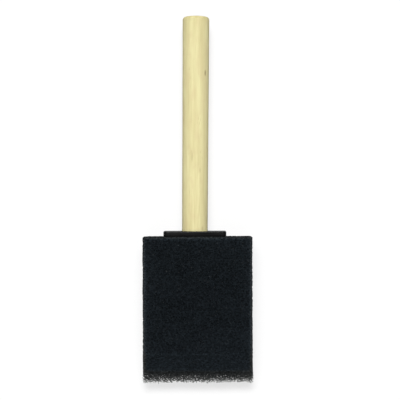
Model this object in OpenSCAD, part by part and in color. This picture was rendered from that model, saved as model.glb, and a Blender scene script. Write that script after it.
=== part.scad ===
// Foam sponge brush: a chisel-tipped foam head on a moulded insert, with a dowel handle.
// The brush lies on its back face. X runs across the head, Y along the handle towards its
// free end, and Z up through the head's thickness. All sizes are in millimetres.

/* [Foam head] */
// Width of the foam head, nominally two inches
foam_w = 50.8; // [44:0.2:80]
// Height of the foam head, from its top edge to the chisel tip
foam_h = 68.4; // [64:0.2:90]
// Thickness of the foam block
foam_t = 22; // [20:0.5:30]
// Height of the chisel bevel above the tip
bevel_h = 13.8; // [8:0.2:18]
// Thickness left at the chisel's edge
tip_t = 1.6; // [0.8:0.1:3]

/* [Handle] */
// Diameter of the dowel
handle_d = 12.3; // [10:0.1:13]
// Length of the dowel from the collar to its crown
handle_out = 101.4; // [60:0.2:160]
// Radius of the shallow dome on the free end
crown_r = 28; // [10:0.5:40]
// Radius of the rounding where the dome meets the side
crown_edge_r = 1.2; // [0.4:0.1:2]
// How much thinner in radius the seated end is than the dowel
tenon_step = 0.2; // [0.1:0.05:0.5]
// Length of the seated end inside the socket
tenon_l = 23; // [16:0.5:28]
// Chamfer on the seated end
tenon_chamfer = 1; // [0.5:0.1:1.5]

/* [Insert] */
// Width of the collar that stands on top of the foam
collar_w = 29.4; // [22:0.1:36]
// Depth of the collar through the foam's thickness
collar_d = 17; // [16.8:0.1:19]
// Height of the collar above the foam
collar_h = 2.3; // [1.6:0.1:5]
// Radius of the collar's four upright corners
collar_corner_r = 1.6; // [0.8:0.1:4]
// Radius of the rounding along the collar's top edges
collar_edge_r = 0.4; // [0.2:0.1:0.8]
// Wall of the socket tube round the dowel
socket_wall = 1.6; // [1:0.1:1.8]
// How far the handle and insert sit to the left of the foam's middle
insert_shift = 1.2; // [0:0.1:3]
// Width of the blade inside the foam
blade_w = 34; // [26:0.5:36]
// Length of the blade below the collar
blade_l = 46; // [40:0.5:48]
// Thickness of the blade at its root
blade_t = 2; // [1.6:0.1:2.6]
// Thickness of the blade at its end
blade_end_t = 1; // [0.6:0.1:1.4]
// Radius of the blade's two lower corners
blade_corner_r = 7; // [3:0.5:10]

/* [Glue] */
// Thickness of the glue film on each face of the blade
film_t = 0.5; // [0.3:0.1:0.8]
// Depth of the glue under the seated end of the handle
puddle_t = 0.8; // [0.4:0.1:1.5]

/* [Hidden] */
$fn = 96;

// Gap left round a piece that slides into a pocket
gap = 0.15;
// Radial room between the seated end and the socket's wall, which the crush ribs bridge
crush_room = 0.25;
// Distance left between a crush rib's crest and the wood
crush_clear = 0.03;
crush_rib_w = 1.2;
crush_ribs = 6;
// Overlap that makes two shapes of one piece a single solid
join = 0.2;

// Stations along Y, with the origin midway along the whole brush
total_l = foam_h + collar_h + handle_out;
tip_y = -total_l / 2;
foam_top_y = tip_y + foam_h;
collar_top_y = foam_top_y + collar_h;
bevel_y = tip_y + bevel_h;

// The handle's axis
axis_x = -insert_shift;
axis_z = foam_t / 2;

handle_r = handle_d / 2;
tenon_r = handle_r - tenon_step;
bore_r = tenon_r + crush_room;
bore_l = tenon_l + puddle_t;
socket_r = bore_r + socket_wall;
// The socket's closed end narrows as a cone to the blade's thickness
nose_l = socket_r - blade_t / 2;
socket_l = bore_l - collar_h;

// Stiffening ribs along both faces of the blade
rib_w = 1.4;
rib_rise = 1.6;
rib_x = blade_w / 2 - 4;
rib_l = blade_l - 10;

// Glue films below the socket's nose
film_w = 2 * (rib_x - rib_w);
film_from = socket_l + nose_l + 1;
film_to = blade_l - 3;
film_corner_r = 3;
// The blade starts to thin where the films end, so the films lie on flat faces
taper_from = film_to + 0.5;

// Puts a shape that is drawn along +Z onto the handle's axis, from y towards the free end
module on_axis(y) {
    translate([axis_x, y, axis_z])
        rotate([-90, 0, 0])
            children();
}

// A rectangle about the origin with rounded corners
module rounded_rect(w, h, r) {
    square([w - 2 * r, h], center = true);
    square([w, h - 2 * r], center = true);
    for (x = [-1, 1], y = [-1, 1])
        translate([x * (w / 2 - r), y * (h / 2 - r)])
            circle(r);
}

// A rectangle that stands on y = 0, with its two upper corners rounded
module arched_rect(w, h, r) {
    translate([-w / 2, 0])
        square([w, h - r]);
    translate([-w / 2 + r, 0])
        square([w - 2 * r, h]);
    for (x = [-1, 1])
        translate([x * (w / 2 - r), h - r])
            circle(r);
}

// Half outline of the dowel, from the collar's top face at y = 0 to the crown
module dowel_outline() {
    edge_x = handle_r - crown_edge_r;
    crown_centre_y = handle_out - crown_r;
    edge_y = crown_centre_y + sqrt(pow(crown_r - crown_edge_r, 2) - pow(edge_x, 2));
    touch_x = edge_x * crown_r / (crown_r - crown_edge_r);
    square([handle_r, edge_y]);
    translate([edge_x, edge_y])
        intersection() {
            circle(crown_edge_r);
            translate([-edge_x, 0])
                square([handle_r, crown_edge_r]);
        }
    intersection() {
        translate([0, crown_centre_y])
            circle(crown_r, $fn = 360);
        translate([0, edge_y - join])
            square([touch_x, crown_r]);
    }
}

// Half outline of the seated end, below the collar's top face
module tenon_outline() {
    polygon([
        [0, join],
        [tenon_r, join],
        [tenon_r, tenon_chamfer - tenon_l],
        [tenon_r - tenon_chamfer, -tenon_l],
        [0, -tenon_l]
    ]);
}

module handle() {
    color("#e6dcaa")
        on_axis(collar_top_y)
            union() {
                rotate_extrude()
                    dowel_outline();
                rotate_extrude()
                    tenon_outline();
            }
}

// The collar stands on the foam, with its three outlines rounded
module collar() {
    intersection() {
        translate([axis_x, foam_top_y, axis_z - foam_t])
            linear_extrude(2 * foam_t)
                arched_rect(collar_w, collar_h, collar_edge_r);
        translate([axis_x - collar_w, foam_top_y, axis_z])
            rotate([0, 90, 0])
                linear_extrude(2 * collar_w)
                    arched_rect(collar_d, collar_h, collar_edge_r);
        on_axis(foam_top_y)
            linear_extrude(collar_h)
                rounded_rect(collar_w, collar_d, collar_corner_r);
    }
}

// Outline of the blade seen from the front, growing down from y = 0
module blade_outline(w, l, r) {
    translate([-w / 2, r - l])
        square([w, l - r]);
    translate([r - w / 2, -l])
        square([w - 2 * r, l]);
    for (x = [-1, 1])
        translate([x * (w / 2 - r), r - l])
            circle(r);
}

// The blade's side view, flat down to taper_from and thinner towards its end
module blade_side() {
    polygon([
        [0, blade_t / 2],
        [-taper_from, blade_t / 2],
        [-blade_l, blade_end_t / 2],
        [-blade_l, -blade_end_t / 2],
        [-taper_from, -blade_t / 2],
        [0, -blade_t / 2]
    ]);
}

module blade() {
    translate([axis_x, foam_top_y, axis_z])
        intersection() {
            translate([0, 0, -blade_t])
                linear_extrude(2 * blade_t)
                    blade_outline(blade_w, blade_l, blade_corner_r);
            translate([-blade_w, 0, 0])
                rotate([90, 0, 90])
                    linear_extrude(2 * blade_w)
                        blade_side();
        }
}

// One long rib across both faces of the blade, with sloping ends; extra widens its pocket
module blade_rib(x, extra = 0) {
    half = blade_t / 2 + rib_rise + extra;
    translate([axis_x + x - rib_w / 2 - extra, foam_top_y, axis_z])
        rotate([90, 0, 90])
            linear_extrude(rib_w + 2 * extra)
                polygon([
                    [0, half],
                    [-rib_l + 3 * rib_rise, half],
                    [-rib_l - extra, blade_t / 2],
                    [-rib_l - extra, -blade_t / 2],
                    [-rib_l + 3 * rib_rise, -half],
                    [0, -half]
                ]);
}

// The socket tube's outside with its conical nose; extra widens it for the foam's pocket
module socket_outside(extra = 0) {
    on_axis(foam_top_y - socket_l)
        cylinder(h = socket_l, r = socket_r + extra);
    on_axis(foam_top_y - socket_l - nose_l)
        cylinder(h = nose_l, r1 = socket_r - nose_l + extra, r2 = socket_r + extra);
}

// Ridges along the socket's wall that grip the seated end
module crush_rib(turn) {
    crest_r = tenon_r + crush_clear;
    on_axis(collar_top_y - bore_l + puddle_t + tenon_chamfer)
        rotate([0, 0, turn])
            translate([crest_r, -crush_rib_w / 2, 0])
                cube([bore_r - crest_r + join, crush_rib_w, tenon_l - tenon_chamfer - collar_h]);
}

module insert() {
    color("#1b1c1e")
        union() {
            difference() {
                union() {
                    collar();
                    socket_outside();
                    blade();
                    for (side = [-1, 1])
                        blade_rib(side * rib_x);
                }
                on_axis(collar_top_y - bore_l)
                    cylinder(h = bore_l + 1, r = bore_r);
            }
            for (i = [0:crush_ribs - 1])
                crush_rib(i * 360 / crush_ribs);
        }
}

// Room for the insert and its glue, cut from the top of the foam
module foam_pocket() {
    slit_t = blade_t + 2 * film_t;
    translate([axis_x, foam_top_y, axis_z - slit_t / 2])
        linear_extrude(slit_t)
            union() {
                blade_outline(blade_w + 2 * gap, blade_l + gap, blade_corner_r);
                translate([-blade_w / 2 - gap, -1])
                    square([blade_w + 2 * gap, 2]);
            }
    socket_outside(gap);
    on_axis(foam_top_y - 1)
        cylinder(h = 2, r = socket_r + gap);
    for (side = [-1, 1])
        blade_rib(side * rib_x, gap);
}

module foam_head() {
    color("#15191b")
        difference() {
            translate([-foam_w / 2, 0, axis_z])
                rotate([90, 0, 90])
                    linear_extrude(foam_w)
                        polygon([
                            [foam_top_y, foam_t / 2],
                            [bevel_y, foam_t / 2],
                            [tip_y, tip_t / 2],
                            [tip_y, -tip_t / 2],
                            [bevel_y, -foam_t / 2],
                            [foam_top_y, -foam_t / 2]
                        ]);
            foam_pocket();
        }
}

// A film of glue on one face of the blade, from z upwards
module glue_film(z) {
    translate([axis_x, foam_top_y - (film_from + film_to) / 2, z])
        linear_extrude(film_t)
            rounded_rect(film_w, film_to - film_from, film_corner_r);
}

module glue_front() {
    color("#c9b48a")
        glue_film(axis_z + blade_t / 2);
}

module glue_back() {
    color("#c9b48a")
        glue_film(axis_z - blade_t / 2 - film_t);
}

// The puddle of glue that the handle's seated end stands in
module glue_socket() {
    color("#c9b48a")
        on_axis(collar_top_y - bore_l)
            cylinder(h = puddle_t, r = tenon_r);
}

handle();
insert();
foam_head();
glue_front();
glue_back();
glue_socket();
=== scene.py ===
"""Foam sponge brush: surfaces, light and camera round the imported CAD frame.

The brush lies on the back of its foam head: X across the head, Y along the handle towards its
free end, Z up. Lengths are in metres, so values in millimetres are multiplied by MM.
"""

import math
import random

import bmesh
import bpy
import numpy as np
from mathutils import Matrix, Vector, noise


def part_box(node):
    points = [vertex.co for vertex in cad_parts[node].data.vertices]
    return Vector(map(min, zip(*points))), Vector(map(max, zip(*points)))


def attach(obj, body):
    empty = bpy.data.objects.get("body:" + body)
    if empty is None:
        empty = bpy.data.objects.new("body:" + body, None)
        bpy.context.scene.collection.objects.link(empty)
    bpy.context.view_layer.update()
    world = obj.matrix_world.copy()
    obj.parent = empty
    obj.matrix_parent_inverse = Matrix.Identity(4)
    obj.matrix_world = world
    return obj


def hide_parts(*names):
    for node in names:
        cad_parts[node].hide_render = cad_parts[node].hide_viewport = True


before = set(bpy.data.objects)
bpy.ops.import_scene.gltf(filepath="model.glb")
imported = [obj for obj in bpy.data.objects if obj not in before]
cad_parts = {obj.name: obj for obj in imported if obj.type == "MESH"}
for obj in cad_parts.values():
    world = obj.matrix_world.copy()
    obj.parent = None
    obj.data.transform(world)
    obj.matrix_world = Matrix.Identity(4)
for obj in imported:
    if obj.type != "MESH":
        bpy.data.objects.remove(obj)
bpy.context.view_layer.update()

MM = 0.001
BODY = "root"


# ---------------------------------------------------------------- sizes from the frame


def corners(node):
    """The points of a CAD node's mesh."""
    return [v.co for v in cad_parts[node].data.vertices]


foam_lo, foam_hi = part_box("foam_head")
insert_lo, insert_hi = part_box("insert")
handle_lo, handle_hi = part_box("handle")

# The axis that the handle and the insert share, parallel to Y
AXIS_X = (handle_lo.x + handle_hi.x) / 2
AXIS_Z = (handle_lo.z + handle_hi.z) / 2
HANDLE_R = (handle_hi.x - handle_lo.x) / 2

# Stations along Y
CROWN = handle_hi.y
COLLAR_TOP = insert_hi.y
FOAM_TOP = foam_hi.y
SEAT = handle_lo.y
BLADE_END = insert_lo.y
# Where the foam's front face ends and its bevel begins
CREASE = min(p.y for p in corners("foam_head") if p.z > foam_hi.z - 0.01 * MM)
TIP = foam_lo.y

FOAM_T = foam_hi.z - foam_lo.z
TIP_T = 1.6 * MM

# The handle's seated end, and its domed free end, which is worn a little rounder than the CAD's
TENON_R = HANDLE_R - 0.2 * MM
TENON_CHAMFER = 1.0 * MM
CROWN_R = 26 * MM
CROWN_EDGE_R = 1.6 * MM

# The insert
COLLAR_W = 2 * max(p.x - AXIS_X for p in corners("insert") if p.y > FOAM_TOP + 0.5 * MM)
COLLAR_CORNER_R = 1.6 * MM
COLLAR_EDGE_R = 0.4 * MM
BORE_R = TENON_R + 0.25 * MM
SOCKET_R = BORE_R + 1.6 * MM
PUDDLE_T = 0.8 * MM
SOCKET_END = SEAT - PUDDLE_T
BLADE_W = insert_hi.x - insert_lo.x
BLADE_T = 2.0 * MM
BLADE_END_T = 1.0 * MM
BLADE_CORNER_R = 7 * MM
RIB_W = 1.4 * MM
RIB_RISE = 1.6 * MM
RIB_X = BLADE_W / 2 - 4 * MM
RIB_END = BLADE_END + 12 * MM
CRUSH_RIBS = 6
CRUSH_RIB_W = 1.2 * MM
# How far the crush ribs stop short of the dowel
CRUSH_GAP = 0.03 * MM
# How far the socket tube reaches into the collar before they are joined
OVERLAP = 1.0 * MM
# How far the collar presses into the foam
COLLAR_BITE = 0.45 * MM
# The blade is wider than the collar, so its upper corners are rounded off inside the foam
SHOULDER_R = 3.2 * MM
BLADE_RISE = 0.05 * MM
# Room between the insert and the pocket in the foam
POCKET_GAP = 0.12 * MM

film_lo, film_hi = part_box("glue_front")
FILM_CORNER_R = 3 * MM
# The slot in the foam is as thick as the blade with the glue on both of its faces
SLOT_T = 2 * (film_hi.z - AXIS_Z)


# ---------------------------------------------------------------- mesh helpers


def add_object(name, mesh):
    obj = bpy.data.objects.new(name, mesh)
    bpy.context.scene.collection.objects.link(obj)
    return obj


def add_mesh(name, points, faces, sharp_angle=40):
    """A mesh object from points and faces. Edges sharper than sharp_angle degrees stay crisp."""
    mesh = bpy.data.meshes.new(name)
    mesh.from_pydata([tuple(p) for p in points], [], [tuple(f) for f in faces])
    mesh.validate()
    mesh.polygons.foreach_set("use_smooth", [True] * len(mesh.polygons))
    mesh.set_sharp_from_angle(angle=math.radians(sharp_angle))
    mesh.update()
    return add_object(name, mesh)


def face_outwards(obj):
    bm = bmesh.new()
    bm.from_mesh(obj.data)
    bmesh.ops.recalc_face_normals(bm, faces=bm.faces)
    bm.to_mesh(obj.data)
    bm.free()


def set_attribute(obj, name, values):
    """A number for each point of the mesh, which the material reads by name."""
    layer = obj.data.attributes.new(name, "FLOAT", "POINT")
    layer.data.foreach_set("value", np.asarray(values, dtype=np.float32))


def get_points(obj):
    co = np.empty(len(obj.data.vertices) * 3, dtype=np.float32)
    obj.data.vertices.foreach_get("co", co)
    return co.reshape(-1, 3).astype(float)


def get_normals(obj):
    normals = np.empty(len(obj.data.vertices) * 3, dtype=np.float32)
    obj.data.vertex_normals.foreach_get("vector", normals)
    return normals.reshape(-1, 3).astype(float)


def set_points(obj, points):
    obj.data.vertices.foreach_set("co", points.astype(np.float32).ravel())
    obj.data.update()


def combine(obj, tools, operation):
    """Joins closed solids to obj, or cuts them from it, and removes them."""
    for tool in tools:
        modifier = obj.modifiers.new("combine", "BOOLEAN")
        modifier.operation, modifier.solver, modifier.object = operation, "EXACT", tool
        done = obj.evaluated_get(bpy.context.evaluated_depsgraph_get())
        mesh = bpy.data.meshes.new_from_object(done)
        obj.modifiers.clear()
        obj.data = mesh
        bpy.data.objects.remove(tool)
    return obj


def weld(obj, distance=5e-6):
    """Merges points that a cut left almost touching."""
    bm = bmesh.new()
    bm.from_mesh(obj.data)
    bmesh.ops.remove_doubles(bm, verts=bm.verts, dist=distance)
    bmesh.ops.dissolve_degenerate(bm, edges=bm.edges, dist=distance)
    bmesh.ops.triangulate(bm, faces=[face for face in bm.faces if len(face.verts) > 4])
    bm.to_mesh(obj.data)
    bm.free()
    return obj


def merge(into, other):
    """Puts one object's mesh into another's as a separate shell."""
    with bpy.context.temp_override(active_object=into, selected_editable_objects=[into, other]):
        bpy.ops.object.join()
    return into


def smoothstep(low, high, x):
    t = np.clip((x - low) / (high - low), 0, 1)
    return t * t * (3 - 2 * t)


def arc(count):
    """Angles from 0 to a right angle in count steps."""
    return [math.pi / 2 * i / count for i in range(count + 1)]


def lathe(name, profile, steps=96):
    """A closed solid from a profile of (radius, y), turned about the handle's axis."""
    points, faces, rings = [], [], []
    for r, y in profile:
        count = steps if r > 0 else 1
        rings.append(range(len(points), len(points) + count))
        for i in range(count):
            turn = 2 * math.pi * i / steps
            points.append((AXIS_X + r * math.sin(turn), y, AXIS_Z + r * math.cos(turn)))
    for low, high in zip(rings, rings[1:]):
        for i in range(steps):
            j = (i + 1) % steps
            quad = (low[i % len(low)], low[j % len(low)], high[j % len(high)], high[i % len(high)])
            faces.append(tuple(dict.fromkeys(quad)))
    obj = add_mesh(name, points, faces)
    face_outwards(obj)
    return obj


def section(y, width, depth, corner_r, x=AXIS_X, z=AXIS_Z, steps=6):
    """A rounded rectangle across Y, as a ring of points."""
    ring = []
    for quarter, (sx, sz) in enumerate(((1, 1), (-1, 1), (-1, -1), (1, -1))):
        for turn in arc(steps):
            turn += quarter * math.pi / 2
            u = sx * (width / 2 - corner_r) + corner_r * math.cos(turn)
            v = sz * (depth / 2 - corner_r) + corner_r * math.sin(turn)
            ring.append((x + u, y, z + v))
    return ring


def loft(name, rings):
    """A closed solid through rings of equally many points."""
    count = len(rings[0])
    points = [p for ring in rings for p in ring]
    faces = [range(count), range(len(points) - count, len(points))]
    for first in range(0, len(points) - count, count):
        for i in range(count):
            j = (i + 1) % count
            faces.append((first + i, first + j, first + count + j, first + count + i))
    obj = add_mesh(name, points, faces)
    face_outwards(obj)
    return obj


def inset_at_corner(distance, radius):
    """How far a corner's arc stands in from the side, at a distance along it from the end."""
    reach = max(0.0, radius - distance)
    return radius - math.sqrt(radius**2 - reach**2)


def stations(start, end, corner_r, steps=8):
    """Places from start to end that follow a corner's arc at the end."""
    way = 1 if end > start else -1
    return [start] + [end - way * corner_r * (1 - math.sin(turn)) for turn in arc(steps)]


# ---------------------------------------------------------------- shader helpers


class Shader:
    """A material being built: nodes are added by type, and a value may be another's output."""

    def __init__(self, name):
        self.material = bpy.data.materials.new(name)
        self.material.use_nodes = True
        self.tree = self.material.node_tree
        self.surface = self.tree.nodes["Principled BSDF"]

    def add(self, kind, inputs=(), **settings):
        made = self.tree.nodes.new(kind)
        for key, value in settings.items():
            setattr(made, key, value)
        self.set(made, inputs)
        return made

    def set(self, made, inputs):
        for key, value in dict(inputs).items():
            socket = made.inputs[key]
            if isinstance(value, bpy.types.NodeSocket):
                self.tree.links.new(value, socket)
            else:
                socket.default_value = value

    def place(self, stretch=(1, 1, 1), shift=(0, 0, 0)):
        """The point on the surface in metres, moved by shift and then multiplied by stretch."""
        point = self.add("ShaderNodeTexCoord").outputs["Object"]
        moved = self.vector("ADD", point, shift).outputs[0]
        return self.vector("MULTIPLY", moved, stretch).outputs[0]

    def vector(self, operation, a, b=(0, 0, 0)):
        return self.add("ShaderNodeVectorMath", {0: a, 1: b}, operation=operation)

    def maths(self, operation, a, b=0.0):
        return self.add("ShaderNodeMath", {0: a, 1: b}, operation=operation).outputs[0]

    def fade(self, value, low, high, start=0.0, end=1.0):
        """start where value is below low, end where it is above high, and smooth between."""
        ends = {"Value": value, "From Min": low, "From Max": high, "To Min": start, "To Max": end}
        return self.add("ShaderNodeMapRange", ends, interpolation_type="SMOOTHSTEP").outputs[0]

    def mix(self, factor, a, b):
        made = self.add("ShaderNodeMix", data_type="RGBA")
        self.set(made, {0: factor, 6: a, 7: b})
        return made.outputs[2]

    def noise(self, where, scale=1.0, detail=2.0, roughness=0.5):
        inputs = {"Vector": where, "Scale": scale, "Detail": detail, "Roughness": roughness}
        return self.add("ShaderNodeTexNoise", inputs).outputs[0]

    def cells(self, where, scale=1.0, feature="F1"):
        made = self.add("ShaderNodeTexVoronoi", {"Vector": where, "Scale": scale}, feature=feature)
        return made.outputs["Distance"]

    def attribute(self, name):
        return self.add("ShaderNodeAttribute", attribute_name=name).outputs["Fac"]

    def bump(self, height, distance, strength=1.0, under=None):
        inputs = {"Height": height, "Distance": distance, "Strength": strength}
        if under is not None:
            inputs["Normal"] = under
        return self.add("ShaderNodeBump", inputs).outputs[0]


def grey(value, cool=0.0):
    """A neutral colour, or a bluish one when cool is above 0."""
    return (value * (1 - cool), value, value * (1 + 0.9 * cool), 1)


# ---------------------------------------------------------------- materials


def foam_material():
    """Black open-cell foam: dark pores between paler walls, matte, with painted shade in its pits and
    painted light at its tip, bevel, crease and edges.
    """
    s = Shader("black_foam")
    where = s.place()
    pores = s.fade(s.cells(where, 1 / (0.85 * MM)), 0.15, 0.75)
    walls = s.fade(s.cells(where, 1 / (1.25 * MM), "DISTANCE_TO_EDGE"), 0.0, 0.25, 1.0, 0.0)
    patches = s.noise(where, 1 / (9 * MM), 3.0)
    speck = s.fade(s.noise(where, 1 / (0.6 * MM), 1.0), 0.67, 0.80)

    light = s.maths("ADD", s.maths("MULTIPLY", pores, 0.62), s.maths("MULTIPLY", walls, 0.45))
    # Darker in the cut cells' pits: painted shade in the recesses
    light = s.maths("MULTIPLY", light, s.fade(s.attribute("pit"), 0.2, 1.0, 1.0, 0.45))
    colour = s.mix(light, grey(0.0024, 0.26), grey(0.0102, 0.26))
    colour = s.mix(s.fade(patches, 0.3, 0.7, 0.0, 0.20), colour, grey(0.014, 0.25))
    colour = s.mix(s.maths("MULTIPLY", speck, 0.5), colour, grey(0.045))
    # Painted light from the pale attribute: a glow at the tip and highlights at the bevel, crease and
    # edges, mixed in unevenly over the cells
    pale = s.attribute("pale")
    painted_light_tone = s.mix(s.fade(pale, 0.020, 0.065), grey(0.30, 0.26), (0.290, 0.300, 0.280, 1))
    uneven = s.maths("ADD", s.maths("MULTIPLY", light, 1.1), 0.45)
    colour = s.mix(s.maths("MULTIPLY", pale, uneven), colour, painted_light_tone)
    deep = s.bump(walls, 0.22 * MM, 0.8)
    s.set(
        s.surface,
        {
            "Base Color": colour,
            "Roughness": 0.95,
            "Specular IOR Level": 0.04,
            "Normal": s.bump(pores, 0.18 * MM, 1.0, deep),
        },
    )
    return s.material


# Marks in the wood: distance from the collar, turn from the front towards +X in degrees, half
# length, half width and strength
FLECKS = (
    (74.2 * MM, 46, 1.9 * MM, 0.55 * MM, 0.75),
    (34.8 * MM, -14, 2.4 * MM, 0.45 * MM, 0.25),
    (28.5 * MM, 22, 1.6 * MM, 0.40 * MM, 0.20),
    (52.0 * MM, 165, 2.0 * MM, 0.60 * MM, 0.60),
    (12.5 * MM, 100, 1.6 * MM, 0.45 * MM, 0.40),
    (88.0 * MM, -120, 2.2 * MM, 0.50 * MM, 0.35),
    (1.2 * MM, 36, 1.5 * MM, 0.70 * MM, 0.22),
)

# From the dowel's axis to the middle of the tree that it was cut from
PITH_X, PITH_Z = 22 * MM, 13 * MM


def wood_material():
    """Pale birch: growth rings, streaks, fibres and pores along the grain, and a few flecks."""
    s = Shader("pale_birch")
    axis = (-AXIS_X, 0, -AXIS_Z)
    wander = s.noise(s.place((160, 22, 160), axis))
    pith = s.place((1, 0, 1), (PITH_X - AXIS_X, 0, PITH_Z - AXIS_Z))
    from_pith = s.vector("LENGTH", pith).outputs["Value"]
    bend = s.maths("ADD", from_pith, s.maths("MULTIPLY", wander, 2.6 * MM))
    rings = s.maths("SINE", s.maths("MULTIPLY", bend, 2 * math.pi / (2.3 * MM)))
    fibres = s.noise(s.place((2600, 70, 2600), axis), 1.0, 3.0, 0.6)
    streaks = s.noise(s.place((520, 34, 520), axis), 1.0, 3.0, 0.55)
    mottle = s.noise(s.place((330, 150, 330), axis))
    pores = s.fade(s.cells(s.place((1500, 190, 1500), axis)), 0.06, 0.22, 1.0, 0.0)
    porous = s.fade(s.noise(s.place((300, 60, 300), axis), 1.0, 1.0), 0.50, 0.62)
    pores = s.maths("MULTIPLY", pores, porous)

    pale, warm, tan = (0.655, 0.607, 0.334, 1), (0.520, 0.450, 0.225, 1), (0.390, 0.310, 0.150, 1)
    colour = s.mix(s.fade(rings, -1.0, 1.0, 0.0, 0.18), pale, warm)
    colour = s.mix(s.fade(streaks, 0.35, 0.72, 0.0, 0.55), colour, warm)
    colour = s.mix(s.fade(mottle, 0.42, 0.75, 0.0, 0.36), colour, (0.560, 0.455, 0.255, 1))
    colour = s.mix(s.fade(fibres, 0.48, 0.85, 0.0, 0.45), colour, tan)
    colour = s.mix(s.maths("MULTIPLY", pores, 0.55), colour, tan)
    # End grain on the crown, together with the painted shade below it
    end_grain_and_shade = s.maths("MULTIPLY", s.attribute("end_grain_and_shade"), s.fade(rings, -0.2, 1.0, 0.35, 0.80))
    colour = s.mix(end_grain_and_shade, colour, (0.500, 0.440, 0.205, 1))
    for up, turn, half_length, half_width, strength in FLECKS:
        turn = math.radians(turn)
        x, z = AXIS_X + HANDLE_R * math.sin(turn), AXIS_Z + HANDLE_R * math.cos(turn)
        near = s.place((1 / half_width, 1 / half_length, 1 / half_width), (-x, -COLLAR_TOP - up, -z))
        away = s.vector("LENGTH", near).outputs["Value"]
        ragged = s.maths("ADD", away, s.maths("MULTIPLY", fibres, 0.8))
        colour = s.mix(s.fade(ragged, 0.7, 1.5, strength, 0.0), colour, (0.200, 0.140, 0.070, 1))

    relief = s.maths("SUBTRACT", fibres, pores)
    s.set(
        s.surface,
        {
            "Base Color": colour,
            "Roughness": s.fade(fibres, 0.2, 0.8, 0.55, 0.70),
            "Specular IOR Level": 0.12,
            "Normal": s.bump(relief, 0.06 * MM, 0.6),
        },
    )
    return s.material


def plastic_material():
    """Black moulded plastic: a satin skin with a fine texture and faint flow marks."""
    s = Shader("black_moulding")
    grain = s.noise(s.place(), 1 / (0.25 * MM), 3.0, 0.6)
    flow = s.noise(s.place((90, 260, 90)))
    colour = s.mix(s.fade(flow, 0.3, 0.7), grey(0.0030), grey(0.0070))
    s.set(
        s.surface,
        {
            "Base Color": colour,
            "Roughness": s.fade(flow, 0.3, 0.7, 0.22, 0.30),
            "Specular IOR Level": 0.09,
            "Normal": s.bump(grain, 0.012 * MM, 0.4),
        },
    )
    return s.material


def glue_material():
    """Set hot-melt glue: amber, slightly cloudy, with a rippled skin."""
    s = Shader("amber_glue")
    where = s.place()
    cloud = s.noise(where, 1 / (2.5 * MM), 3.0)
    ripple = s.noise(where, 1 / (1.2 * MM))
    s.set(
        s.surface,
        {
            "Base Color": s.mix(s.fade(cloud, 0.3, 0.7), (0.52, 0.37, 0.17, 1), (0.70, 0.56, 0.32, 1)),
            "Roughness": s.fade(cloud, 0.3, 0.7, 0.25, 0.40),
            "Normal": s.bump(ripple, 0.15 * MM, 0.6),
        },
    )
    return s.material


# ---------------------------------------------------------------- handle

RING_STEP = 1.0 * MM


def dowel_profile():
    """(radius, y) points from the middle of the seated end to the middle of the crown."""
    edge_x = HANDLE_R - CROWN_EDGE_R
    crown_y = CROWN - CROWN_R
    edge_y = crown_y + math.sqrt((CROWN_R - CROWN_EDGE_R) ** 2 - edge_x**2)
    touch = math.asin(edge_x / (CROWN_R - CROWN_EDGE_R))
    points = [(0, SEAT), (TENON_R / 2, SEAT), (TENON_R - TENON_CHAMFER, SEAT)]
    points += [(TENON_R, SEAT + TENON_CHAMFER), (TENON_R, COLLAR_TOP), (HANDLE_R, COLLAR_TOP)]
    steps = int((edge_y - COLLAR_TOP) / RING_STEP)
    points += [(HANDLE_R, y) for y in np.linspace(COLLAR_TOP, edge_y, steps + 1)[1:]]
    for turn in np.linspace(0, math.pi / 2 - touch, 9)[1:]:
        points.append((edge_x + CROWN_EDGE_R * math.cos(turn), edge_y + CROWN_EDGE_R * math.sin(turn)))
    for turn in np.linspace(touch, 0, 13)[1:-1]:
        points.append((CROWN_R * math.sin(turn), crown_y + CROWN_R * math.cos(turn)))
    return points + [(0, CROWN)]


def dowel_wobble(x, y, z):
    """How far the surface strays from a true cylinder: oval, wavy, fibrous and a little tapered."""
    turn = math.atan2(x, z)
    taper = np.interp(y, [COLLAR_TOP, CROWN], [-0.09 * MM, 0.15 * MM])
    slow = noise.noise(Vector((math.sin(turn) * 1.2, y / (24 * MM), math.cos(turn) * 1.2)))
    fibre = noise.noise(Vector((math.sin(turn) * 14, y / (9 * MM), math.cos(turn) * 14)))
    return taper + 0.03 * MM * math.cos(2 * turn + 0.6) + 0.05 * MM * slow + 0.012 * MM * fibre


def make_handle():
    obj = lathe("dowel_handle", dowel_profile())
    points = get_points(obj)
    for point in points:
        dx, dz = point[0] - AXIS_X, point[2] - AXIS_Z
        r = math.hypot(dx, dz)
        if r > HANDLE_R / 2 and point[1] > COLLAR_TOP:
            grow = 1 + dowel_wobble(dx, point[1], dz) / r
            point[0], point[2] = AXIS_X + dx * grow, AXIS_Z + dz * grow
    set_points(obj, points)
    end = smoothstep(0.35, 0.9, np.abs(get_normals(obj)[:, 1]))
    below = CROWN - points[:, 1]
    # End-grain colour round the crown's rim, and painted shade over the last 16 mm below the crown
    crown_rim_and_painted_shade = 0.75 * smoothstep(2.4 * MM, 1.2 * MM, below) + 0.35 * smoothstep(16 * MM, 2 * MM, below)
    set_attribute(obj, "end_grain_and_shade", np.maximum(end, crown_rim_and_painted_shade))
    return obj


# ---------------------------------------------------------------- insert and glue


def collar():
    """The flat cap on the foam, with rounded corners and edges, and a foot that bites into it."""
    depth = insert_hi.z - insert_lo.z
    r = COLLAR_EDGE_R
    outline = [(FOAM_TOP - COLLAR_BITE, r)]
    outline += [(FOAM_TOP + r * (1 - math.cos(turn)), r * (1 - math.sin(turn))) for turn in arc(5)]
    outline += [(COLLAR_TOP - r * (1 - math.sin(turn)), r * (1 - math.cos(turn))) for turn in arc(5)]
    rings = []
    for y, inset in outline:
        rings.append(section(y, COLLAR_W - 2 * inset, depth - 2 * inset, COLLAR_CORNER_R - inset))
    return loft("collar", rings)


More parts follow.
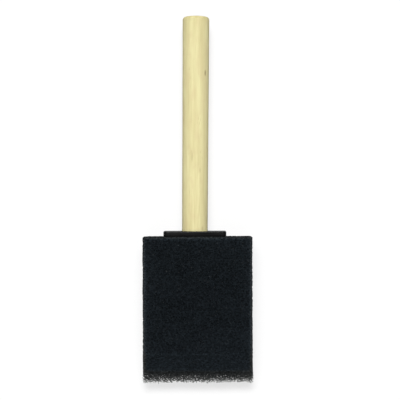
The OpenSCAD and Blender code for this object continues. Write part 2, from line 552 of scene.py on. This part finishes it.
def blade():
    """The plate inside the foam, thinner towards its lower end, with rounded corners."""
    rings = []
    thin_from, top = film_lo.y - 0.5 * MM, FOAM_TOP + BLADE_RISE
    shoulders = stations(thin_from, top, SHOULDER_R)[:0:-1]
    for y in shoulders + stations(thin_from, BLADE_END, BLADE_CORNER_R):
        inset = inset_at_corner(y - BLADE_END, BLADE_CORNER_R) + inset_at_corner(top - y, SHOULDER_R)
        width = BLADE_W - 2 * inset
        thin = np.interp(y, [BLADE_END, thin_from], [BLADE_END_T, BLADE_T])
        rings.append(section(y, width, thin, 0.3 * thin))
    return loft("blade", rings)


def blade_rib(x, extra=0.0):
    """A long stiffening rib across both faces of the blade, sloping down at its end."""
    full, width = BLADE_T + 2 * RIB_RISE + 2 * extra, RIB_W + 2 * extra
    steps = ((FOAM_TOP + BLADE_RISE, full), (RIB_END + 3 * RIB_RISE, full), (RIB_END - extra, BLADE_T))
    return loft("rib", [section(y, width, depth, 0.3 * MM, AXIS_X + x) for y, depth in steps])


def socket_outside(extra=0.0):
    """The tube round the dowel's seated end, closed below by a cone that meets the blade."""
    r = SOCKET_R + extra
    nose_end = SOCKET_END - (SOCKET_R - BLADE_T / 2)
    tip_r = BLADE_T / 2 + extra
    profile = [(0, nose_end), (tip_r, nose_end), (r - 0.6 * MM, SOCKET_END - 0.6 * MM)]
    profile += [(r, SOCKET_END + 0.3 * MM), (r, FOAM_TOP + OVERLAP), (0, FOAM_TOP + OVERLAP)]
    return lathe("socket", profile)


def foam_pocket():
    """The slot in the foam that takes the blade with the glue on its faces, its ribs and the socket."""
    end, corner_r = BLADE_END - POCKET_GAP, BLADE_CORNER_R + POCKET_GAP
    top, shoulder_r = FOAM_TOP + POCKET_GAP, SHOULDER_R + POCKET_GAP
    rings = []
    shoulders = stations(film_lo.y, top, shoulder_r)[:0:-1]
    for y in [top + OVERLAP] + shoulders + stations(film_lo.y, end, corner_r):
        inset = inset_at_corner(y - end, corner_r) + inset_at_corner(max(top - y, 0), shoulder_r)
        rings.append(section(y, BLADE_W + 2 * (POCKET_GAP - inset), SLOT_T, 0.3 * MM))
    ribs = [blade_rib(side * RIB_X, POCKET_GAP) for side in (-1, 1)]
    return combine(loft("pocket", rings), [socket_outside(POCKET_GAP), *ribs], "UNION")


def socket_bore():
    """The hole that the dowel is pressed into, flared at its mouth."""
    flare = 0.25 * MM
    profile = [(0, SOCKET_END), (BORE_R, SOCKET_END), (BORE_R, COLLAR_TOP - flare)]
    return lathe("bore", profile + [(BORE_R + 2 * flare, COLLAR_TOP + flare), (0, COLLAR_TOP + flare)])


def crush_rib(turn):
    """A small ridge along the bore that bites into the dowel."""
    crest, root = BORE_R - TENON_R - CRUSH_GAP, 0.3 * MM
    rings = []
    turned = Matrix.Translation((AXIS_X, 0, AXIS_Z)) @ Matrix.Rotation(turn, 4, "Y")
    for y in (SEAT + TENON_CHAMFER, FOAM_TOP):
        ring = section(y, CRUSH_RIB_W, 2 * (crest + root), 0.15 * MM, 0, BORE_R + root, steps=3)
        rings.append([turned @ Vector(p) for p in ring])
    return loft("crush_rib", rings)


def make_insert():
    ribs = [blade_rib(side * RIB_X) for side in (-1, 1)]
    obj = combine(collar(), [socket_outside(), blade(), *ribs], "UNION")
    combine(obj, [socket_bore()], "DIFFERENCE")
    turns = [2 * math.pi * i / CRUSH_RIBS for i in range(CRUSH_RIBS)]
    combine(obj, [crush_rib(turn) for turn in turns], "UNION")
    obj.name = "moulded_insert"
    obj.data.set_sharp_from_angle(angle=math.radians(30))
    return obj


def make_film(name, node):
    """A film of glue pressed flat, with thin rounded edges."""
    lo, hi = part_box(node)
    x, middle, z = (lo + hi) / 2
    upper = stations(middle, hi.y, FILM_CORNER_R)
    lower = stations(middle, lo.y, FILM_CORNER_R)[1:]
    rings = []
    for y in lower[::-1] + upper:
        inset = inset_at_corner(min(y - lo.y, hi.y - y), FILM_CORNER_R)
        thick = hi.z - lo.z
        rings.append(section(y, hi.x - lo.x - 2 * inset, thick, 0.4 * thick, x, z))
    return loft(name, rings)


def make_puddle():
    """The glue under the dowel, drawn up a little where it meets the wall."""
    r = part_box("glue_socket")[1].x - AXIS_X
    rise, low = 0.12 * MM, SEAT - PUDDLE_T
    profile = [(0, low), (r - 0.2 * MM, low), (r, low + 0.2 * MM), (r, SEAT)]
    profile += [(0.85 * r, SEAT - 0.3 * rise), (0.5 * r, SEAT - rise), (0, SEAT - rise)]
    return lathe("glue_puddle", profile)


# ---------------------------------------------------------------- foam head

GRID = 0.48 * MM
EDGE_ROUND = 0.25 * MM
CELL = 1.1 * MM
PIT_DEPTH = 0.32 * MM
# Slow waves in the faces, and the ragged lower end of the solid core
WAVE = 0.10 * MM
RAGGED = 0.9 * MM
# How far the foam's sides stand out, at its top and at its thin end
SIDE_SWELL = 0.20 * MM
TIP_SWELL = 0.55 * MM
# How far the foam's top edge sinks below the collar
TOP_SINK = 0.3 * MM
# The slit that the blade went in by, closed again over its shoulders
SLIT_DEPTH = 0.9 * MM
SLIT_W = 0.45 * MM
# Heights above the tip: the solid core narrows from the first to the second, inside open cells
# that carry on to the chisel's edge
CORE_TAPER = 4.4 * MM
CORE_END = 3.0 * MM
# The open cells: their width, their struts' mean radius, and how far a joint may lie from its
# regular place, as a share of the width
STRUT_CELL = 1.45 * MM
STRUT_R = 0.112 * MM
JOINT_SHIFT = 0.3
# Where the cells end below the tip, on average and at most above or below that
FRAY_END = 0.45 * MM
FRAY_DEPTH = 0.9 * MM


def foam_thickness(y):
    """Thickness of the head at each y: full above the crease and tapering to the tip."""
    return TIP_T + (FOAM_T - TIP_T) * np.clip((y - TIP) / (CREASE - TIP), 0, 1)


def core_thickness(y):
    """Thickness of the solid core, which thins to nothing inside the open cells at the tip."""
    return foam_thickness(y) * (0.04 + 0.96 * smoothstep(CORE_END, CORE_TAPER, y - TIP))


def block_surface(nx, ny, nz):
    """Grid points on the surface of a block of nx by ny by nz cells, and its outward faces."""
    index = np.full((nx + 1, ny + 1, nz + 1), -1)
    shell = np.zeros(index.shape, bool)
    shell[[0, -1]] = shell[:, [0, -1]] = shell[:, :, [0, -1]] = True
    index[shell] = np.arange(shell.sum())
    faces = []
    for axis in range(3):
        for side in (0, -1):
            sheet = np.take(index, side, axis=axis)
            quads = np.stack([sheet[:-1, :-1], sheet[1:, :-1], sheet[1:, 1:], sheet[:-1, 1:]], -1)
            outward = (side == -1) != (axis == 1)
            faces.append(quads.reshape(-1, 4)[:, :: 1 if outward else -1])
    return np.argwhere(shell), np.concatenate(faces)


def round_block(points, lo, hi, radius):
    """Moves points on a block's surface onto the same block with rounded edges and corners."""
    inner = np.clip(points, lo + radius, hi - radius)
    out = points - inner
    return inner + out / np.linalg.norm(out, axis=1, keepdims=True) * radius


def cell_pits(points):
    """How deep each point lies in a foam cell that the knife has cut open, from 0 to 1."""
    nearest = np.array([noise.voronoi(Vector(p / CELL))[0][0] for p in points])
    return np.sqrt(np.clip(1 - (nearest / 0.62) ** 2, 0, 1))


def slow_noise(points, size, seed):
    return np.array([noise.noise(Vector(p / size) + Vector((seed, 0, 0))) for p in points])


def foam_painted_light(points):
    """How far the foam's colour is lightened by painted light.

    It is palest at the tip, a painted glow, and then at the edges, a painted highlight. Painted light
    lightens it a little where the open cells begin and on the bevel, both facing away from the key
    light, and a painted highlight runs along the crease. It is slightly lighter over the whole lower
    half.
    """
    x, y, z = points.T
    above_tip = np.maximum(y - TIP, 0)
    # Painted glow at the thin tip, and painted light where the core's taper faces away from the key
    # light
    tip = 0.30 * np.exp(-above_tip / (1.05 * MM)) + 0.04 * smoothstep(7 * MM, 3 * MM, above_tip)
    tip += 0.012 * np.exp(-(((above_tip - CORE_TAPER) / (0.75 * MM)) ** 2))
    # Painted light on the bevel, which faces away from the key light
    bevel = 0.0165 * smoothstep(0.4 * MM, -0.4 * MM, y - CREASE)
    lower_half = 0.004 * smoothstep(34 * MM, 8 * MM, above_tip)
    # Painted highlight along the bevel's crease
    crease = 0.008 * np.exp(-(((y - CREASE) / (0.55 * MM)) ** 2))
    # A point on a face is at distance 0 from that face, so its edge is at the next distance up
    to_side = foam_hi.x - np.abs(x)
    to_face = foam_thickness(y) / 2 - np.abs(z - AXIS_Z)
    from_edge = np.sort([to_side, to_face, FOAM_TOP - y], axis=0)[1]
    # Painted highlight along the edges
    edge = 0.046 * np.exp(-(((from_edge - 0.6 * MM) / (0.75 * MM)) ** 2))
    edge += 0.010 * np.exp(-from_edge / (3 * MM))
    return np.clip(tip + bevel + lower_half + crease + edge, 0, 1)


def foam_core():
    """The solid part of the head: a bevelled block with crisp edges, pitted with cut cells."""
    lo = np.array([foam_lo.x, TIP + CORE_END, foam_lo.z])
    hi = np.array([foam_hi.x, FOAM_TOP - TOP_SINK, foam_hi.z])
    counts = [int(round(n)) for n in (hi - lo) / GRID]
    steps, faces = block_surface(*counts)
    points = round_block(lo + steps / counts * (hi - lo), lo, hi, EDGE_ROUND)
    middle = (foam_lo.z + foam_hi.z) / 2
    points[:, 2] = middle + (points[:, 2] - middle) * core_thickness(points[:, 1]) / FOAM_T
    obj = add_mesh("foam_block_and_tip", points, faces, 180)
    pits = cell_pits(points)
    thick = smoothstep(0.2 * MM, 2.5 * MM, core_thickness(points[:, 1]))
    lift = thick * (WAVE * slow_noise(points, 6 * MM, 3.0) - PIT_DEPTH * pits)
    ragged = smoothstep(1.5 * MM, 0.0, points[:, 1] - TIP - CORE_END)
    points = points + get_normals(obj) * lift[:, None]
    points[:, 1] += RAGGED * ragged * slow_noise(points, 1.2 * MM, 9.0)
    in_slit = np.exp(-(((points[:, 2] - AXIS_Z) / SLIT_W) ** 2))
    in_slit *= smoothstep(0.4 * MM, -0.4 * MM, np.abs(points[:, 0] - AXIS_X) - BLADE_W / 2)
    points[:, 1] -= SLIT_DEPTH * in_slit * smoothstep(FOAM_TOP - 2 * MM, FOAM_TOP - MM, points[:, 1])
    set_points(obj, points)
    set_attribute(obj, "pit", pits)
    return weld(combine(obj, [foam_pocket()], "DIFFERENCE"))


def cell_struts(lo, hi, cell, draw):
    """The struts of packed 14-sided cells that fill a box, as pairs of ends shifted a little.

    A cell is 4 units wide. The corners of one cell are (0, 1, 2) in every order and sign, and a
    strut joins two that lie the square root of 2 apart.
    """
    flat = [(a, b, 0) for a in (-2, -1, 1, 2) for b in (-2, -1, 1, 2) if abs(a) != abs(b)]
    joints_of_cell = [c[i:] + c[:i] for c in flat for i in range(3)]
    pairs = [(p, q) for p in joints_of_cell for q in joints_of_cell if p < q and math.dist(p, q) < 1.5]
    counts = [int(math.ceil(n)) for n in (hi - lo) / cell]
    centres = [
        (4 * i + half, 4 * j + half, 4 * k + half)
        for i in range(counts[0])
        for j in range(counts[1])
        for k in range(counts[2])
        for half in (0, 2)
    ]
    struts = set()
    for centre in centres:
        for pair in pairs:
            struts.add(tuple(sorted(tuple(c + d for c, d in zip(centre, end)) for end in pair)))
    joints = {}
    for joint in sorted({end for pair in struts for end in pair}):
        shift = np.array([draw.uniform(-1, 1) for _ in range(3)]) * JOINT_SHIFT * cell
        joints[joint] = lo + np.array(joint) * cell / 4 + shift
    return [(joints[a], joints[b]) for a, b in sorted(struts)]


def add_bar(start, end, radius, points, faces):
    """Adds a closed three-sided bar between two places to the lists of points and faces."""
    along = Vector(end - start).normalized()
    side = along.orthogonal().normalized()
    other = along.cross(side)
    first = len(points)
    for place in (start, end):
        for i in range(3):
            turn = 2 * math.pi * i / 3
            points.append(place + radius * np.array(side * math.cos(turn) + other * math.sin(turn)))
    faces += [(first + 2, first + 1, first), (first + 3, first + 4, first + 5)]
    faces += [(first + i, first + (i + 1) % 3, first + 3 + (i + 1) % 3, first + 3 + i) for i in range(3)]


def open_cells():
    """The see-through cells at the chisel's edge, which the knife left ragged."""
    draw = random.Random(4)
    half_t = foam_thickness(TIP + CORE_TAPER) / 2
    lo = np.array([foam_lo.x, TIP - 1.0 * MM, AXIS_Z - half_t])
    hi = np.array([foam_hi.x, TIP + CORE_TAPER, AXIS_Z + half_t])
    points, faces = [], []
    for start, end in cell_struts(lo, hi, STRUT_CELL, draw):
        x, y, z = (start + end) / 2
        radius = STRUT_R * draw.uniform(0.5, 1.5)
        fray = noise.noise(Vector((x, 0.2 * MM, z)) / (0.55 * MM))
        edge = TIP - FRAY_END + FRAY_DEPTH * fray
        side = foam_hi.x - 0.1 * MM
        off_middle = abs(z - AXIS_Z)
        if y < edge or y > hi[1] or abs(x) > side or off_middle > foam_thickness(y) / 2:
            continue
        if y < TIP + CORE_END or off_middle > core_thickness(y) / 2 - 0.3 * MM:
            add_bar(start, end, radius, points, faces)
    return add_mesh("open_cells", points, faces, 10)


def make_foam():
    obj = merge(foam_core(), open_cells())
    points = get_points(obj)
    set_attribute(obj, "pale", foam_painted_light(points))
    swell = np.interp(points[:, 1], [TIP, CREASE, FOAM_TOP], [TIP_SWELL, SIDE_SWELL, SIDE_SWELL])
    points[:, 0] *= 1 + swell / foam_hi.x
    set_points(obj, points)
    return obj


# ---------------------------------------------------------------- light, floor and camera

# The camera looks straight down, and this much fits across its view at the foam's face
VIEW_WIDTH = 185.76 * MM
VIEW_CENTRE = (1.14 * MM, -0.71 * MM)
VIEW_ROLL = math.radians(0.3)
LENS_MM = 135
SENSOR_MM = 36


def make_camera():
    data = bpy.data.cameras.new("camera")
    data.lens, data.sensor_width = LENS_MM, SENSOR_MM
    data.clip_start, data.clip_end = 0.01, 20
    camera = add_object("camera", data)
    camera.location = (*VIEW_CENTRE, foam_hi.z + VIEW_WIDTH * LENS_MM / SENSOR_MM)
    camera.rotation_euler = (0, 0, VIEW_ROLL)
    bpy.context.scene.camera = camera


# The table's glow, and the share of it that reaches the brush: the camera sees all of it, as in a
# picture whose background was whitened
TABLE_GLOW = 0.685
SPILL = 0.35


def make_floor():
    """A white light table, bright enough to fill the shadows."""
    half = 4.0
    outline = [(-half, -half, 0), (half, -half, 0), (half, half, 0), (-half, half, 0)]
    floor = add_mesh("light_table", outline, [(0, 1, 2, 3)])
    s = Shader("white_acrylic")
    seen = s.add("ShaderNodeLightPath").outputs["Is Camera Ray"]
    s.set(
        s.surface,
        {
            "Base Color": grey(0.243),
            "Roughness": 1.0,
            "Specular IOR Level": 0.0,
            "Emission Color": grey(1.0),
            "Emission Strength": s.fade(seen, 0.0, 1.0, SPILL * TABLE_GLOW, TABLE_GLOW),
        },
    )
    floor.data.materials.append(s.material)


def add_softbox(name, from_x, from_y, strength, spread):
    """A soft far light from above, leaning from_x and from_y degrees off the vertical."""
    data = bpy.data.lights.new(name, "SUN")
    data.energy, data.angle = strength * math.pi, math.radians(spread)
    light = add_object(name, data)
    lean = Vector((math.tan(math.radians(from_x)), math.tan(math.radians(from_y)), 1))
    light.rotation_euler = lean.to_track_quat("Z", "Y").to_euler()


def make_sky():
    """A white wall all round at the height of the table, and a dim ceiling."""
    world = bpy.data.worlds.new("studio")
    world.use_nodes = True
    tree = world.node_tree
    direction = tree.nodes.new("ShaderNodeTexCoord")
    height = tree.nodes.new("ShaderNodeSeparateXYZ")
    ramp = tree.nodes.new("ShaderNodeMapRange")
    ramp.interpolation_type = "SMOOTHSTEP"
    # The sine of the angle above the table where the wall begins to darken and where it ends, and
    # the brightness below and above
    for key, value in {"From Min": 0.085, "From Max": 0.16, "To Min": 1.0, "To Max": 0.15}.items():
        ramp.inputs[key].default_value = value
    tree.links.new(direction.outputs["Generated"], height.inputs[0])
    tree.links.new(height.outputs["Z"], ramp.inputs["Value"])
    tree.links.new(ramp.outputs[0], tree.nodes["Background"].inputs["Color"])
    bpy.context.scene.world = world


def make_light():
    make_sky()
    for from_x in (-9, -2, 5):
        add_softbox("key", from_x, from_y=25.5, strength=0.417, spread=18)
    add_softbox("fill", from_x=0, from_y=-30, strength=0.12, spread=60)
    bpy.context.scene.view_settings.view_transform = "Standard"


# ---------------------------------------------------------------- assembly


# The dowel sits slightly crooked in its socket, so the head is turned a little against it
HEAD_TURN = math.radians(0.5)


def turn_head(obj):
    """Turns one of the head's pieces in the plane of the brush, about the socket's mouth."""
    about = Matrix.Translation((AXIS_X, COLLAR_TOP, 0))
    obj.data.transform(about @ Matrix.Rotation(HEAD_TURN, 4, "Z") @ about.inverted())


def stand_for(obj, node, material):
    """A detailed piece takes a CAD node's place."""
    obj.data.materials.clear()
    obj.data.materials.append(material)
    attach(obj, BODY)
    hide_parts(node)


make_camera()
make_light()
make_floor()

foam = make_foam()
insert = make_insert()
film_front = make_film("glue_film_front", "glue_front")
film_back = make_film("glue_film_back", "glue_back")
puddle = make_puddle()
for piece in (foam, insert, film_front, film_back, puddle):
    turn_head(piece)

glue = glue_material()
stand_for(foam, "foam_head", foam_material())
stand_for(insert, "insert", plastic_material())
stand_for(make_handle(), "handle", wood_material())
stand_for(film_front, "glue_front", glue)
stand_for(film_back, "glue_back", glue)
stand_for(puddle, "glue_socket", glue)
